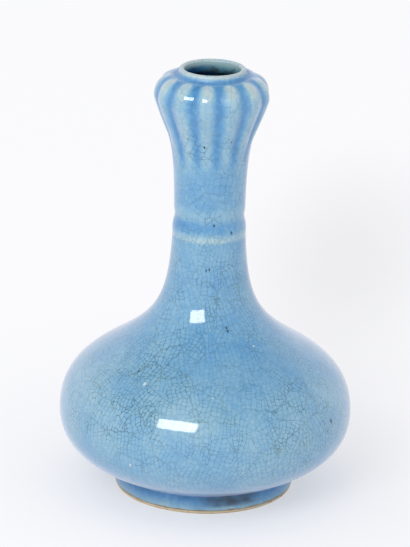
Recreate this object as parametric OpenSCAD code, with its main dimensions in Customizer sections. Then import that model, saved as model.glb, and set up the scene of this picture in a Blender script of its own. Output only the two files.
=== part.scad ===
// Garlic head vase: a stoneware bottle thrown in sections, luted together with slip
// and covered with a thick glaze. The foot's edge is left bare where the vase stands.
// Units are millimetres. The origin is the middle of the foot's underside, and +Z is up.

/* [Foot] */
// Outside radius of the foot where its glaze ends
foot_r = 62.4; // [54:0.1:68]
// Height of the foot up to the underside of the belly
foot_h = 12.8; // [10:0.1:16]
// How much narrower the foot is at its top
foot_taper = 1.6; // [0:0.1:3]
// Width of the foot ring from outside to inside
foot_w = 8.4; // [6:0.1:12]
// Height of the bare edge below the glaze
bare_h = 2.6; // [1.5:0.1:4]
// How far the bare edge leans in down to the ground
bare_bevel = 0.8; // [0.3:0.1:1.5]
// Size of the bevel on the foot ring's inner edge
foot_in_bevel = 1.2; // [0.5:0.1:2]
// Height of the base's underside inside the foot ring
base_rise = 8.2; // [5:0.1:9]

/* [Belly] */
// Largest radius of the belly
belly_r = 101.2; // [92:0.1:112]
// Height from the top of the foot to the widest place
belly_low_h = 42.4; // [36:0.1:50]
// Height from the widest place to the turn of the shoulder
belly_high_h = 44.8; // [40:0.1:54]
// Angle of the belly's underside to level where it leaves the foot
underside_lift = 23.4; // [17:0.1:28]
// How far the underside keeps that angle
underside_reach = 20.9; // [14:0.1:25]
// Fullness of the belly below its widest place
belly_low_reach = 24.6; // [20:0.1:30]
// Fullness of the belly above its widest place
belly_high_reach = 22.8; // [18:0.1:29]

/* [Shoulder and neck] */
// Radius at the turn of the shoulder
shoulder_r = 71.3; // [64:0.1:78]
// Slope of the shoulder at its turn, in degrees to level
shoulder_slope = 32.5; // [28:0.1:40]
// How far the shoulder keeps that slope below the turn
shoulder_low_reach = 20.5; // [15:0.1:26]
// How far the shoulder keeps that slope above the turn
shoulder_high_reach = 40.8; // [32:0.1:44]
// Height from the turn of the shoulder to the neck ring
neck_flare_h = 81.7; // [72:0.1:95]
// Radius of the neck at the lower edge of the ring
neck_r = 25.2; // [23.5:0.1:27]
// Lean of the neck at the ring, in degrees
neck_lean = 2.7; // [0:0.1:6]
// How far the neck keeps that lean below the ring
neck_reach = 50; // [40:0.5:58]
// Radius of the upper neck just above the ring
upper_neck_r = 24.4; // [23.5:0.1:26.5]
// Height of the upper neck up to the turn of the garlic head
upper_neck_h = 51.3; // [42:0.1:62]
// How far the upper neck runs nearly straight
upper_neck_reach = 22; // [15:0.5:28]

/* [Neck ring] */
// Radius of the ring at its crest
ring_r = 25.3; // [24.7:0.1:27]
// Height from the ring's lower edge to its crest
ring_low_h = 4.7; // [4:0.1:8]
// Height from the crest to the groove above the ring
ring_high_h = 10.3; // [8:0.1:13]
// Radius at the bottom of the groove
groove_r = 23.8; // [23.2:0.1:24.3]
// Height from the groove to the plain upper neck
groove_h = 6.2; // [3:0.1:8]
// Depth of the seat that the ring is laid in, below the groove
ring_seat = 0.8; // [0.6:0.1:1.2]

/* [Garlic head] */
// Radius where the neck turns into the head
flare_r = 29.8; // [27.5:0.1:32]
// Slope of the head's flank there, in degrees to level
flare_slope = 66.8; // [58:0.1:72]
// How far the flank keeps that slope below the turn
flare_low_reach = 9.6; // [7:0.1:15]
// How far the flank keeps that slope above the turn
flare_high_reach = 4.9; // [2:0.1:8]
// Largest radius of the head, on a lobe
head_r = 39.4; // [36:0.1:44]
// Height from the turn to the widest place of the head
head_low_h = 26; // [20:0.1:32]
// Height from the widest place to the foot of the lip
head_high_h = 14.9; // [13:0.1:20]
// Fullness of the head below its widest place
head_low_reach = 2.8; // [2:0.1:6]
// Fullness of the head above its widest place
head_high_reach = 13.8; // [9:0.1:16]
// Number of lobes round the head
lobes = 13; // [8:1:16]
// Depth of the furrows between the lobes
lobe_depth = 1.9; // [0.5:0.1:2.4]
// Radius near the lip where the lobes end
lobe_top_r = 27.5; // [26:0.1:31]
// Radius near the lip where the furrows reach their full depth
lobe_full_r = 34; // [32:0.1:36]
// Height over which the lobes fade into the neck
lobe_fade_h = 22; // [12:0.5:28]
// Height from the lowest trace of the lobes to the turn of the head
lobe_low_h = 13; // [10:0.5:13]

/* [Lip] */
// Outside radius of the rolled lip
lip_r = 22.8; // [22:0.1:24]
// Height of the lip above the head
lip_h = 4.9; // [4:0.1:7]
// Radius of the head at the foot of the lip
lip_foot_r = 24.5; // [24.2:0.1:26]
// How far the head runs level up to the foot of the lip
lip_foot_reach = 4.5; // [3:0.1:6]
// Radius of the mouth
mouth_r = 19.2; // [17.5:0.1:19.8]

/* [Wall and joints] */
// Thickness of the clay wall
wall = 4.2; // [3.6:0.1:5]
// Thickness of the clay floor
floor_t = 6.4; // [5:0.1:8]
// Width of the slope from the flat floor to the wall
floor_slope_w = 12.8; // [8:0.1:18]
// Thickness of the glaze, inside and outside
glaze_t = 0.7; // [0.4:0.05:0.9]
// Thickness of the slip that joins the sections
slip_t = 0.4; // [0.2:0.05:0.6]
// Height of the step in each joint of the wall
joint_step = 4; // [2:0.1:6]
// Height of the neck's lower joint above the turn of the shoulder
neck_joint_h = 52; // [44:0.5:60]
// Height of the head's joint below the turn of the head
head_joint_h = 17.5; // [16.5:0.1:22]

/* [Hidden] */
$fn = 96;

clay_colour = "#d8c3a0";
bare_colour = "#c08a52";
slip_colour = "#e2d4ba";
glaze_colour = "#6fa6d6";
inner_colour = "#4f7f93";

// Straight pieces in each curve of the outline
belly_pieces = 14;
shoulder_pieces = 12;
neck_pieces = 16;
ring_pieces = 6;
upper_neck_pieces = 10;
flank_pieces = 5;
head_top_pieces = 8;
lip_foot_pieces = 3;
lip_pieces = 6;
throat_pieces = 4;

// Facets round each lobe, and round the whole head
lobe_facets = 6;
head_facets = lobes * lobe_facets;

// Levels, from the ground up
belly_z = foot_h + belly_low_h;
shoulder_z = belly_z + belly_high_h;
ring_low_z = shoulder_z + neck_flare_h;
ring_z = ring_low_z + ring_low_h;
groove_z = ring_z + ring_high_h;
upper_neck_z = groove_z + groove_h;
flare_z = upper_neck_z + upper_neck_h;
head_z = flare_z + head_low_h;
lip_foot_z = head_z + head_high_h;
height = lip_foot_z + lip_h;

// Joints of the wall, each at the middle of its step
belly_joint_z = belly_z;
neck_joint_z = shoulder_z + neck_joint_h;
ring_joint_z = (ring_low_z + groove_z) / 2;
head_joint_z = flare_z - head_joint_h;

// Foot and floor
foot_top_r = foot_r - foot_taper;
foot_in_r = foot_r - foot_w;
floor_z = base_rise + floor_t;

// Rolled lip: half round on top
lip_mid_r = (lip_r + mouth_r) / 2;
lip_bead = (lip_r - mouth_r) / 2;
lip_z = height - lip_bead;

// Seat of the neck ring, cut into the two neck sections
seat_r = groove_r - glaze_t - ring_seat;

// A smooth curve from p to q. It leaves p and reaches q along the given angles,
// and each reach says how far it keeps to its angle.
function curve(p, p_angle, p_reach, q, q_angle, q_reach, pieces) =
    let (p_arm = p + p_reach * [cos(p_angle), sin(p_angle)], q_arm = q - q_reach * [cos(q_angle), sin(q_angle)])
    [for (i = [0 : pieces])
        let (t = i / pieces, s = 1 - t)
        s * s * s * p + 3 * s * s * t * p_arm + 3 * s * t * t * q_arm + t * t * t * q];

function arc(centre, r, from, to, pieces) =
    [for (i = [0 : pieces]) let (a = from + (to - from) * i / pieces) centre + r * [cos(a), sin(a)]];

function without_first(points) = [for (i = [1 : len(points) - 1]) points[i]];
function without_last(points) = [for (i = [0 : len(points) - 2]) points[i]];
function reversed(points) = [for (i = [len(points) - 1 : -1 : 0]) points[i]];
function between(line, low, high) = [for (p = line) if (p.y > low && p.y < high) p];

// Radius of a rising line at height z, and the point there
function radius_at(line, z) =
    [for (i = [0 : len(line) - 2])
        let (p = line[i], q = line[i + 1])
        if (p.y <= z && q.y > z) p.x + (q.x - p.x) * (z - p.y) / (q.y - p.y)][0];
function point_at(line, z) = [radius_at(line, z), z];

// A rising line moved inwards by depth, square to itself
function moved_in(line, depth) =
    let (last = len(line) - 1)
    [for (i = [0 : last])
        let (along = line[min(i + 1, last)] - line[max(i - 1, 0)])
        line[i] + depth * [-along.y, along.x] / norm(along)];

// The outside of the glazed vase, from the top of the foot to the lower edge of the ring
lower_line = concat(
    curve([foot_top_r, foot_h], underside_lift, underside_reach,
          [belly_r, belly_z], 90, belly_low_reach, belly_pieces),
    without_first(curve([belly_r, belly_z], 90, belly_high_reach,
                        [shoulder_r, shoulder_z], 180 - shoulder_slope, shoulder_low_reach, shoulder_pieces)),
    without_first(curve([shoulder_r, shoulder_z], 180 - shoulder_slope, shoulder_high_reach,
                        [neck_r, ring_low_z], 90 + neck_lean, neck_reach, neck_pieces)));

// The ring's own outside, over its crest and through the groove to the plain upper neck
ring_line = concat(
    curve([neck_r, ring_low_z], 90, ring_low_h / 2, [ring_r, ring_z], 90, ring_low_h / 2, ring_pieces),
    without_first(curve([ring_r, ring_z], 90, ring_high_h / 2,
                        [groove_r, groove_z], 90, ring_high_h / 4, ring_pieces)),
    without_first(curve([groove_r, groove_z], 90, groove_h / 3,
                        [upper_neck_r, upper_neck_z], 90, groove_h / 3, ring_pieces)));

// The upper neck and the head, up to the foot of the lip, where the head is nearly level
level_angle = 178;
upper_line = concat(
    curve([upper_neck_r, upper_neck_z], 90, upper_neck_reach,
          [flare_r, flare_z], flare_slope, flare_low_reach, upper_neck_pieces),
    without_first(curve([flare_r, flare_z], flare_slope, flare_high_reach,
                        [head_r, head_z], 90, head_low_reach, flank_pieces)),
    without_first(curve([head_r, head_z], 90, head_high_reach,
                        [lip_foot_r, lip_foot_z], level_angle, lip_foot_reach, head_top_pieces)));

outside_line = concat(without_last(lower_line), without_last(ring_line), upper_line);

// Inside lines leave the ring out, so that the bore of the neck is plain
plain_line = concat(lower_line, upper_line);
clay_inside = moved_in(plain_line, glaze_t + wall);
bore_line = moved_in(plain_line, glaze_t + wall + glaze_t);

// The clay under the outside glaze, and the same line with the ring's seat in it.
// Points nearer to an end of the seat than the glaze is thick are left out.
clay_line = moved_in(outside_line, glaze_t);
under_ring = point_at(clay_line, ring_low_z);
over_ring = point_at(clay_line, groove_z);
seated_line = concat(
    between(clay_line, 0, ring_low_z - glaze_t), [under_ring, [seat_r, ring_low_z]],
    [[seat_r, groove_z], over_ring], between(clay_line, groove_z + glaze_t, height));

// The rolled lip at a depth below its glaze, from the head over the top to the mouth
function lip_line(depth) =
    let (start = [lip_foot_r, lip_foot_z - depth])
    concat(curve(start, level_angle, (lip_foot_r - lip_r) / 2,
                 [lip_r - depth, lip_z], 90, (lip_z - start.y) / 2, lip_foot_pieces),
           without_first(arc([lip_mid_r, lip_z], lip_bead - depth, 0, 180, lip_pieces)));

// The throat, from the end of an inside line up to the mouth
function throat(line, r) =
    let (start = line[len(line) - 1])
    curve(start, level_angle, (start.x - r) / 2, [r, lip_z], 90, (lip_z - start.y) / 2, throat_pieces);

// One joint in the wall. The lower section's outer half stands up round the upper section's inner half,
// and slip fills the gap. side is -1 for the lower section's face and 1 for the upper section's,
// listed from the outside to the inside.
function joint_face(z, side) =
    let (gap = side * slip_t / 2, high = z + joint_step / 2 + gap, low = z - joint_step / 2 + gap,
         middle = (radius_at(seated_line, z) + radius_at(clay_inside, z)) / 2 - gap)
    [point_at(seated_line, high), [middle, high], [middle, low], point_at(clay_inside, low)];

// A length of clay wall between two joints
function wall_section(low_z, high_z) =
    let (bottom = joint_face(low_z, 1), top = joint_face(high_z, -1))
    concat(between(seated_line, bottom[0].y, top[0].y), top,
           reversed(between(clay_inside, bottom[3].y, top[3].y)), reversed(bottom));

function slip_section(z) = concat(joint_face(z, -1), reversed(joint_face(z, 1)));

module turned(points) {
    rotate_extrude() polygon(points);
}

// How strongly the lobes show at a point of the head
function ease(t) = let (u = min(max(t, 0), 1)) u * u * (3 - 2 * u);
function lobe_strength(p) =
    p.y > head_z ? ease((p.x - lobe_top_r) / (lobe_full_r - lobe_top_r))
                 : ease((p.y - flare_z + lobe_low_h) / lobe_fade_h);

// Depth of the furrow at an angle: a power under 1 makes broad lobes and narrower furrows
lobe_power = 0.7;
function furrow(angle) = 1 - pow((1 + cos(lobes * angle)) / 2, lobe_power);

// A point of the head's outline turned to an angle. The first lobe faces -Y.
function at_angle(r, angle, z) = [r * sin(angle), -r * cos(angle), z];

// A closed ring with lobes. The furrows are pressed into the points of the first list,
// and the points of the second stay round, with their facets just outside the circle.
module lobed(furrowed, plain) {
    corners = len(furrowed) + len(plain);
    outward = 1 / cos(180 / head_facets);
    points = [for (k = [0 : head_facets - 1])
                  let (angle = 360 * k / head_facets)
                  each concat(
                      [for (p = furrowed)
                           at_angle(p.x - lobe_depth * lobe_strength(p) * furrow(angle), angle, p.y)],
                      [for (p = plain) at_angle(p.x * outward, angle, p.y)])];
    faces = [for (k = [0 : head_facets - 1], i = [0 : corners - 1])
                 let (a = k * corners, b = ((k + 1) % head_facets) * corners, j = (i + 1) % corners)
                 [a + i, a + j, b + j, b + i]];
    polyhedron(points, faces);
}

module foot_ring() {
    color(bare_colour) turned([
        [foot_in_r + foot_in_bevel, 0], [foot_r - glaze_t - bare_bevel, 0], [foot_r - glaze_t, bare_h],
        [foot_top_r - glaze_t, foot_h - slip_t], [foot_in_r, foot_h - slip_t], [foot_in_r, foot_in_bevel]]);
}

module foot_slip() {
    color(slip_colour) turned([
        [foot_in_r - slip_t, base_rise], [foot_in_r, base_rise], [foot_in_r, foot_h - slip_t],
        [foot_top_r - glaze_t, foot_h - slip_t], [foot_top_r - glaze_t, foot_h], [foot_in_r - slip_t, foot_h]]);
}

// The flat floor ends where it starts to rise to the wall
floor_flat_r = clay_inside[0].x - floor_slope_w;

module lower_bowl() {
    top = joint_face(belly_joint_z, -1);
    color(clay_colour) turned(concat(
        [[0, base_rise], [foot_in_r - slip_t, base_rise], [foot_in_r - slip_t, foot_h],
         [foot_top_r - glaze_t, foot_h]],
        between(clay_line, foot_h, top[0].y), top, reversed(between(clay_inside, floor_z, top[3].y)),
        [[floor_flat_r, floor_z], [0, floor_z]]));
}

module shoulder_dome() {
    color(clay_colour) turned(wall_section(belly_joint_z, neck_joint_z));
}

module lower_neck() {
    color(clay_colour) turned(wall_section(neck_joint_z, ring_joint_z));
}

module upper_neck() {
    color(clay_colour) turned(wall_section(ring_joint_z, head_joint_z));
}

module neck_ring() {
    color(clay_colour) turned(concat(
        [[seat_r + slip_t, ring_low_z], under_ring],
        between(clay_line, ring_low_z + glaze_t, groove_z - glaze_t),
        [over_ring, [seat_r + slip_t, groove_z]]));
}

module garlic_head() {
    bottom = joint_face(head_joint_z, 1);
    outside = concat(between(without_last(clay_line), bottom[0].y, height), lip_line(glaze_t));
    inside = concat(reversed(between(without_last(clay_inside), bottom[3].y, height)), [bottom[3]]);
    mouth = without_first(reversed(throat(clay_inside, mouth_r + glaze_t)));
    color(clay_colour) lobed(concat([bottom[2], bottom[1], bottom[0]], outside), concat(mouth, inside));
}

module belly_slip() {
    color(slip_colour) turned(slip_section(belly_joint_z));
}

module shoulder_slip() {
    color(slip_colour) turned(slip_section(neck_joint_z));
}

module neck_slip() {
    color(slip_colour) turned(slip_section(ring_joint_z));
}

module ring_slip() {
    color(slip_colour) turned([[seat_r, ring_low_z], [seat_r + slip_t, ring_low_z],
                               [seat_r + slip_t, groove_z], [seat_r, groove_z]]);
}

module head_slip() {
    color(slip_colour) turned(slip_section(head_joint_z));
}

// The outside glaze is listed in two parts, which meet where the head's clay begins
head_glaze_z = joint_face(head_joint_z, 1)[0].y;

module body_glaze() {
    color(glaze_colour) turned(concat(
        [[foot_r, bare_h]], between(outside_line, 0, head_glaze_z), [point_at(outside_line, head_glaze_z)],
        [point_at(clay_line, head_glaze_z)], reversed(between(clay_line, 0, head_glaze_z)),
        [[foot_top_r - glaze_t, foot_h], [foot_r - glaze_t, bare_h]]));
}

module head_glaze() {
    outside = concat([point_at(outside_line, head_glaze_z)],
                     between(without_last(outside_line), head_glaze_z, height), lip_line(0));
    inside = concat([point_at(clay_line, head_glaze_z)],
                    between(without_last(clay_line), head_glaze_z, height), lip_line(glaze_t));
    color(glaze_colour) lobed(concat(outside, reversed(inside)), []);
}

module inner_glaze() {
    clay = concat(between(clay_inside, floor_z, height), without_first(throat(clay_inside, mouth_r + glaze_t)));
    bore = concat(between(bore_line, floor_z, height), without_first(throat(bore_line, mouth_r)));
    color(inner_colour) turned(concat(
        [[0, floor_z], [floor_flat_r, floor_z]], clay,
        reversed(bore), [[floor_flat_r, floor_z + glaze_t], [0, floor_z + glaze_t]]));
}

module base_glaze() {
    coat_low_z = bare_h + foot_in_bevel;
    color(glaze_colour) turned([
        [0, base_rise - glaze_t], [foot_in_r - glaze_t, base_rise - glaze_t], [foot_in_r - glaze_t, coat_low_z],
        [foot_in_r, coat_low_z], [foot_in_r, base_rise], [0, base_rise]]);
}

foot_ring();
lower_bowl();
shoulder_dome();
lower_neck();
upper_neck();
neck_ring();
garlic_head();
foot_slip();
belly_slip();
shoulder_slip();
neck_slip();
ring_slip();
head_slip();
body_glaze();
head_glaze();
inner_glaze();
base_glaze();
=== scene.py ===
# %% [markdown]
# # A garlic head vase
# The vase is a stoneware bottle: a low belly on a foot ring, a tall neck with a raised ring, and a mouth
# pressed into lobes like a head of garlic. A thick pale blue glaze covers it, and the glaze has cracked
# into a fine net as it cooled. The CAD model holds the clay sections, the slip that joins them and the
# coats of glaze, all at their real size. It comes in first, as a fixed frame, so that each new piece lands
# on the clay without any fitting.

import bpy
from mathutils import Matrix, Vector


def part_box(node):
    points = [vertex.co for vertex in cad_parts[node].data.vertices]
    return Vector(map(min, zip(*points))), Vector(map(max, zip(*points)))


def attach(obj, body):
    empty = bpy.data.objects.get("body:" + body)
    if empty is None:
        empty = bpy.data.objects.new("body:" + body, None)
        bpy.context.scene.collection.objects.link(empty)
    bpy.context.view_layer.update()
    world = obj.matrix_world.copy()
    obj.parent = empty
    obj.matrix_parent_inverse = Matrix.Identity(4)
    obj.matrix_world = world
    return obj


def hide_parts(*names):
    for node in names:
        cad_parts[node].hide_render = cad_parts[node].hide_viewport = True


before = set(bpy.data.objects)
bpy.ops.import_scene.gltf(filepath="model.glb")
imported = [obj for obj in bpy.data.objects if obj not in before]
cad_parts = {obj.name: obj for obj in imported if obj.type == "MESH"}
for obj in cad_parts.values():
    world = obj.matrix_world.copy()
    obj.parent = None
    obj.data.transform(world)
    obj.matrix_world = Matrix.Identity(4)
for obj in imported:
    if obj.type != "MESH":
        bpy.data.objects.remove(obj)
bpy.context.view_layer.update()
print("CAD nodes:", sorted(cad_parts))

# %% [markdown]
# ## Sizes
# The coats of glaze have to fit the clay, so the main sizes are read from the boxes of the CAD nodes.
# The other option is to type them in again, but then a change in the CAD model would leave the looks
# behind. Every length in this lesson is in millimetres, and MM turns it into Blender's metres.

# %% Sizes from the frame
import math
from collections import namedtuple

import bmesh
import bpy
from mathutils import Matrix, Vector, noise
from mathutils.geometry import interpolate_bezier

MM = 0.001


def spread(node):
    """Largest radius, lowest level and highest level of a CAD node."""
    low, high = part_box(node)
    return max(high.x, -low.y) / MM, low.z / MM, high.z / MM


belly_r, bare_h, _ = spread("body_glaze")
head_r, _, height = spread("head_glaze")
glaze_t = height - spread("garlic_head")[2]
foot_r = spread("foot_ring")[0] + glaze_t
foot_top_r, base_z, foot_h = spread("foot_slip")
foot_top_r += glaze_t
_, ring_low_z, groove_z = spread("neck_ring")
_, floor_z, lip_z = spread("inner_glaze")
lip_bead = height - lip_z
print(f"height {height:.1f}, belly radius {belly_r:.1f}")
print(f"glaze {glaze_t:.2f} thick, lip bead {lip_bead:.2f}")

# %% [markdown]
# ## Camera
# The photograph is taken from a little above the table, with a long lens from about 2.4 m. The camera comes
# first because each later choice is judged through it. A long lens keeps the sides of the neck nearly
# parallel, and a wide one close by would swell the belly. The small roll is the photographer's own tilt.

# %% Camera
LENS = 231
CAMERA_AWAY = 2410
CAMERA_AZIMUTH, CAMERA_ELEVATION, CAMERA_ROLL = 5.7, 19.45, 1.29
MIDDLE = Vector((0, 0, 150))  # the middle of the vase
AIM = Vector((-2.09, 0, 152.82))


def towards(azimuth, elevation):
    """The direction from the vase to a place round it. Azimuth 0 is the front, along -Y, and 90 is +X."""
    a, e = math.radians(azimuth), math.radians(elevation)
    return Vector((math.sin(a) * math.cos(e), -math.cos(a) * math.cos(e), math.sin(e)))


def facing(place, aim):
    """The turn that makes a camera or a lamp at a place look at its aim."""
    return (place - aim).to_track_quat("Z", "Y").to_matrix().to_4x4()


def placed(name, data):
    """A new object in the scene."""
    made = bpy.data.objects.new(name, data)
    bpy.context.scene.collection.objects.link(made)
    return made


camera = placed("camera", bpy.data.cameras.new("camera"))
bpy.context.scene.camera = camera
camera.data.lens = LENS
camera_place = MIDDLE + CAMERA_AWAY * towards(CAMERA_AZIMUTH, CAMERA_ELEVATION)
camera.matrix_world = (Matrix.Translation(camera_place * MM) @ facing(camera_place, AIM)
                       @ Matrix.Rotation(math.radians(CAMERA_ROLL), 4, "Z"))
print("camera at", [round(c) for c in camera_place], "mm, lens", LENS, "mm")

# %% [markdown]
# ## The outline of the vase
# A pot turned on a wheel is one line spun round an axis. The line could be traced with many points, but a
# potter thinks of a few places and of how the wall leaves each of them, and so does a Bezier curve. Each
# stop gives a radius, a height, the heading of the wall there in degrees (0 is outwards, 90 is up), and how
# far the curve keeps to that heading before and after the stop.

# %% Stops of the outline
Stop = namedtuple("Stop", "radius height heading arrive leave")

ROUND = 0.5523  # share of the radius that a Bezier handle has on a quarter circle
mouth_r = 19.2
lip_r = mouth_r + 2 * lip_bead
lip_arm = lip_bead * ROUND
fillet = 1.5  # the glaze fills the corner between foot and belly this far
fillet_arm = fillet * ROUND
head_z = 280.2  # the head is widest at this level
glaze_low_z = bare_h + 0.4  # the glaze ends here

foot_stops = [
    Stop(foot_r - 0.2, glaze_low_z, 88, 0, 2),  # the lower edge of the glaze
    Stop(foot_top_r + 0.2, foot_h - fillet, 97, 2, fillet_arm),  # up to the corner under the belly
]
body_stops = [
    Stop(foot_top_r + 1.4, foot_h + 0.5, 23.4, fillet_arm, 19.4),  # the underside leaves the foot
    Stop(belly_r, 55.2, 90, 24.6, 22.8),  # the belly's widest place
    Stop(71.3, 100, 147.5, 20.5, 40.8),  # the turn of the shoulder
    Stop(25.2, ring_low_z, 92.7, 50, 2.4),  # the lower edge of the neck ring
    Stop(25.3, 186.4, 90, 2.4, 5.2),  # the ring's crest
    Stop(23.8, groove_z, 90, 2.6, 2.1),  # the groove above the ring
    Stop(24.4, 202.9, 90, 2.1, 22),  # the plain upper neck
    Stop(29.8, 254.2, 66.8, 9.6, 4.9),  # the turn of the head
    Stop(head_r, head_z, 90, 2.8, 13.8),  # the head's widest place, on a lobe
    Stop(24.5, 295.1, 178, 4.5, 0.5),  # the foot of the lip
]
lip_stops = [
    Stop(lip_r, lip_z, 90, 1.3, lip_arm),  # the outside of the lip
    Stop(mouth_r + lip_bead, height, 180, lip_arm, lip_arm),  # its top
    Stop(mouth_r, lip_z, 270, lip_arm, 0),  # its inside
]
outside_stops = foot_stops + body_stops + lip_stops
print(len(outside_stops), "stops on the outside")

# %% A smooth line through the stops
LEAST_PIECES = 5  # even a short bend is cut into this many pieces


def ahead(heading):
    """The direction of a heading in the XZ plane."""
    angle = math.radians(heading)
    return Vector((math.cos(angle), 0, math.sin(angle)))


def outline(stops, step):
    """A smooth line through the stops in the XZ plane, with a point about every step."""
    line = []
    for start, end in zip(stops, stops[1:]):
        here, there = (Vector((stop.radius, 0, stop.height)) for stop in (start, end))
        arms = here + start.leave * ahead(start.heading), there - end.arrive * ahead(end.heading)
        pieces = max(LEAST_PIECES, round((there - here).length / step))
        line += interpolate_bezier(here, *arms, there, pieces + 1)[:-1]
    return line + [there]


def moved_in(line, depth):
    """The line moved to its left by depth, which is into the wall for a line that runs up the outside."""
    last = len(line) - 1
    moved = []
    for i, point in enumerate(line):
        along = line[min(i + 1, last)] - line[max(i - 1, 0)]
        moved.append(point + depth * Vector((-along.z, 0, along.x)).normalized())
    return moved


outside = outline(outside_stops, step=2)
print(len(outside), "points in the outline of the outside")

# %% [markdown]
# ## From a line to a coat of glaze
# A glaze is a skin of glass under a millimetre thick. It could be a bare sheet with no thickness, but a
# closed coat gives a clean printable mesh. So the line runs up the outside and back down just above the
# clay, and the spin operator turns this thin loop once round the axis. A full spin leaves two copies of
# the first row, and a point on the axis is copied at each step, so the doubles are merged before the
# normals are set. Each point also keeps how far along the loop it lies, which unrolls the ring into a
# flat map like a label.

# %% Spin a closed line
LOBES = 13
TURN_STEPS = LOBES * 16  # the steps fall on the lobes, so that each lobe has the same points
FRONT_SHARE = 0.94  # the seen side reaches up to here on the flat map
BACK_START, BACK_END = 0.95, 0.985  # and the back lies above it
AXIS = (0, 0, 1)
ON_AXIS = 0.01 * MM  # a point nearer to the axis than this lies on it


def shares(line, low, high):
    """Numbers from low to high for the points of a line, spaced like the points."""
    steps = [(there - here).length for here, there in zip(line, line[1:])]
    return [low + (high - low) * sum(steps[:i]) / sum(steps) for i in range(len(line))]


def spun(line, back):
    """A closed ring from one line and the line back to its start, spun once round the axis."""
    mesh = bmesh.new()
    along = mesh.verts.layers.float.new("along")
    returning = back[::-1]
    loop = [mesh.verts.new(point * MM) for point in line + returning]
    heights = shares(line, 0, FRONT_SHARE) + shares(returning, BACK_START, BACK_END)
    for vert, height_on_map in zip(loop, heights):
        vert[along] = height_on_map
    pairs = zip(loop, loop[1:] + loop[:1])
    edges = [mesh.edges.new(pair) for pair in pairs if max(vert.co.x for vert in pair) > ON_AXIS]
    bmesh.ops.spin(mesh, geom=loop + edges, axis=AXIS, cent=(0, 0, 0), angle=math.tau,
                   steps=TURN_STEPS, use_merge=True)
    bmesh.ops.remove_doubles(mesh, verts=mesh.verts, dist=ON_AXIS)
    bmesh.ops.recalc_face_normals(mesh, faces=mesh.faces)
    return mesh


print("a spun ring has", TURN_STEPS, "steps")

# %% From a bmesh to a piece
SHARP_FROM = math.radians(50)  # an edge that turns more than this is shaded as an edge
FAR_APART = 0.5  # on the flat map, only the face that closes the loop has points this far apart


def unrolled(mesh):
    """Gives a spun ring its flat map: round the axis from left to right, and along the loop upwards."""
    along = mesh.verts.layers.float["along"]
    flat_map = mesh.loops.layers.uv.new("OFBake")
    for face in mesh.faces:
        middle = face.calc_center_median()
        face_turn = math.atan2(middle.x, -middle.y) / math.tau
        heights = [vert[along] for vert in face.verts]
        closing = max(heights) - min(heights) > FAR_APART
        for corner in face.loops:
            x, y, _ = corner.vert.co
            turn = math.atan2(x, -y) / math.tau if math.hypot(x, y) > ON_AXIS else face_turn
            turn += round(face_turn - turn)
            up = corner.vert[along]
            if closing and up < FAR_APART:
                up = 1
            corner[flat_map].uv = (turn + 0.5, up)


def made_piece(name, mesh, slot, *nodes):
    """Turns a finished bmesh into a smooth piece that rides on the vase and stands for its CAD nodes."""
    unrolled(mesh)
    data = bpy.data.meshes.new(name)
    mesh.to_mesh(data)
    mesh.free()
    data.shade_smooth()
    data.set_sharp_from_angle(angle=SHARP_FROM)
    piece = placed(name, data)
    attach(piece, "root")
    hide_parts(*nodes)
    print(name, "has", len(data.polygons), "faces and stands for", ", ".join(nodes))
    return piece


# %% [markdown]
# ## The outside glaze
# On the real vase the furrows between the lobes are pressed into the soft clay with a tool. Here the spun
# points of the head are moved in by the same rule: a cosine round the axis, with a power that makes the
# lobes broad and the furrows narrow, fading towards the neck and the lip. A thrown wall is never quite
# true either, so a slow noise moves it by about a tenth of a millimetre, and the lower edge of the glaze
# is ragged.

# %% Lobes, waviness and the ragged edge
lobe_depth = 1.9
lobe_power = 0.7  # a power under 1 makes the lobes broad and the furrows narrow
lobe_top_r, lobe_full_r = 27.5, 34  # the furrows start at the first radius and are full at the second
lobe_low_z, lobe_full_z = 241.2, 263.2
WAVE, WAVE_SIZE = 0.12, 45  # how far a thrown wall strays from true, and over what length
RAGGED, RAGGED_SIZE = 0.55, 7  # the same for the lower edge of the glaze
RAGGED_TOP, RAGGED_FADE = 5, 4  # the raggedness ends this far above the bare edge, and fades over so much
COAT_SHARE = 0.8  # how deep the back of a coat lies, as a share of the glaze's thickness
BACK_EVERY = 3  # the unseen back needs only every third point


def ease(t):
    """A soft step from 0 to 1."""
    t = min(max(t, 0), 1)
    return t * t * (3 - 2 * t)


def risen(value, low, high):
    """A soft step from 0 to 1 between two values."""
    return ease((value - low) / (high - low))


def furrow_depth(radius, angle, level):
    """How far the furrows are pressed in at a point of the round wall."""
    if level > head_z:
        strength = risen(radius, lobe_top_r, lobe_full_r)
    else:
        strength = risen(level, lobe_low_z, lobe_full_z)
    return lobe_depth * strength * (1 - ((1 + math.cos(LOBES * angle)) / 2) ** lobe_power)


def hand_made(mesh):
    """Presses the furrows, adds the waviness of a thrown wall and makes the glaze's lower edge ragged."""
    for vert in mesh.verts:
        x, y, level = vert.co / MM
        radius = math.hypot(x, y)
        wave = WAVE * noise.noise(vert.co / (WAVE_SIZE * MM))
        share = (radius - furrow_depth(radius, math.atan2(x, -y), level) + wave) / radius
        ragged = RAGGED * noise.noise(Vector((x, y, 0)) / RAGGED_SIZE)
        ragged *= ease((bare_h + RAGGED_TOP - level) / RAGGED_FADE)
        vert.co = Vector((x * share, y * share, level + ragged)) * MM


coat = spun(outside, moved_in(outside, glaze_t * COAT_SHARE)[::BACK_EVERY])
hand_made(coat)
outer_glaze = made_piece("outer_glaze", coat, "blue_glaze", "body_glaze", "head_glaze")

# %% [markdown]
# ## The inside glaze, the base glaze and the bare foot
# The bore follows the outside at the thickness of the wall, without the neck ring, because that ring is a
# band of clay laid on later. The base glaze lines the hollow under the vase. The foot ring is bare, because
# glaze would fuse the vase to the kiln shelf. All three are closed lines spun in the same way.

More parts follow.
